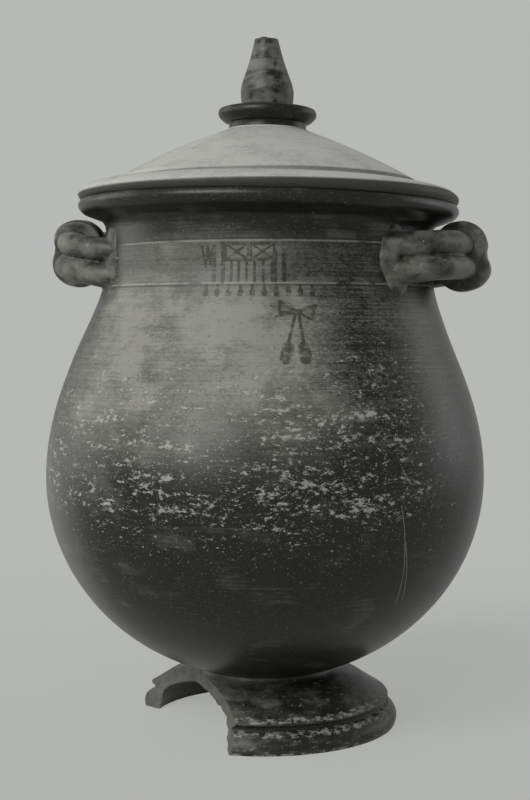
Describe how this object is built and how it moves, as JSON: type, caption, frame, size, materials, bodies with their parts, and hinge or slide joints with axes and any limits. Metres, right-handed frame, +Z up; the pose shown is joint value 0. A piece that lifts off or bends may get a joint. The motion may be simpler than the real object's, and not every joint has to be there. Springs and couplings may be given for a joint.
{
  "type": "lidded pot",
  "caption": "Round-bellied lidded pot with a hollow foot, tied double-roll handles on the shoulder and a domed lid that lifts off by its knob.",
  "frame": {"origin": "centre of the foot's resting plane, on the axis of the pot", "axes": "+Z up along the axis of the pot, handles along X, the broken sector of the foot at -X -Y"},
  "size_m": [0.294, 0.288, 0.4494],
  "materials": {
    "dark_glaze": "dark glaze with a soft gloss, flaked to pale clay",
    "worn_glaze": "thin dark glaze rubbed to clay on its edges",
    "pale_clay": "pale clay with fine wheel rings and a few specks"
  },
  "bodies": {
    "pot": {"body": "dark_glaze", "foot": "worn_glaze", "right_upper_roll": "worn_glaze", "right_lower_roll": "worn_glaze", "right_tie_band": "worn_glaze", "right_front_root_pad": "worn_glaze", "right_rear_root_pad": "worn_glaze", "left_upper_roll": "worn_glaze", "left_lower_roll": "worn_glaze", "left_tie_band": "worn_glaze", "left_front_root_pad": "worn_glaze", "left_rear_root_pad": "worn_glaze"},
    "lid": {"lid": "pale_clay", "knob_disc": "dark_glaze", "knob_finial": "dark_glaze"}
  },
  "joints": [
    {"name": "lid_lift", "type": "slide", "parent": "pot", "child": "lid", "axis": [0, 0, 1], "range_m": [0, 0.22]}
  ]
}
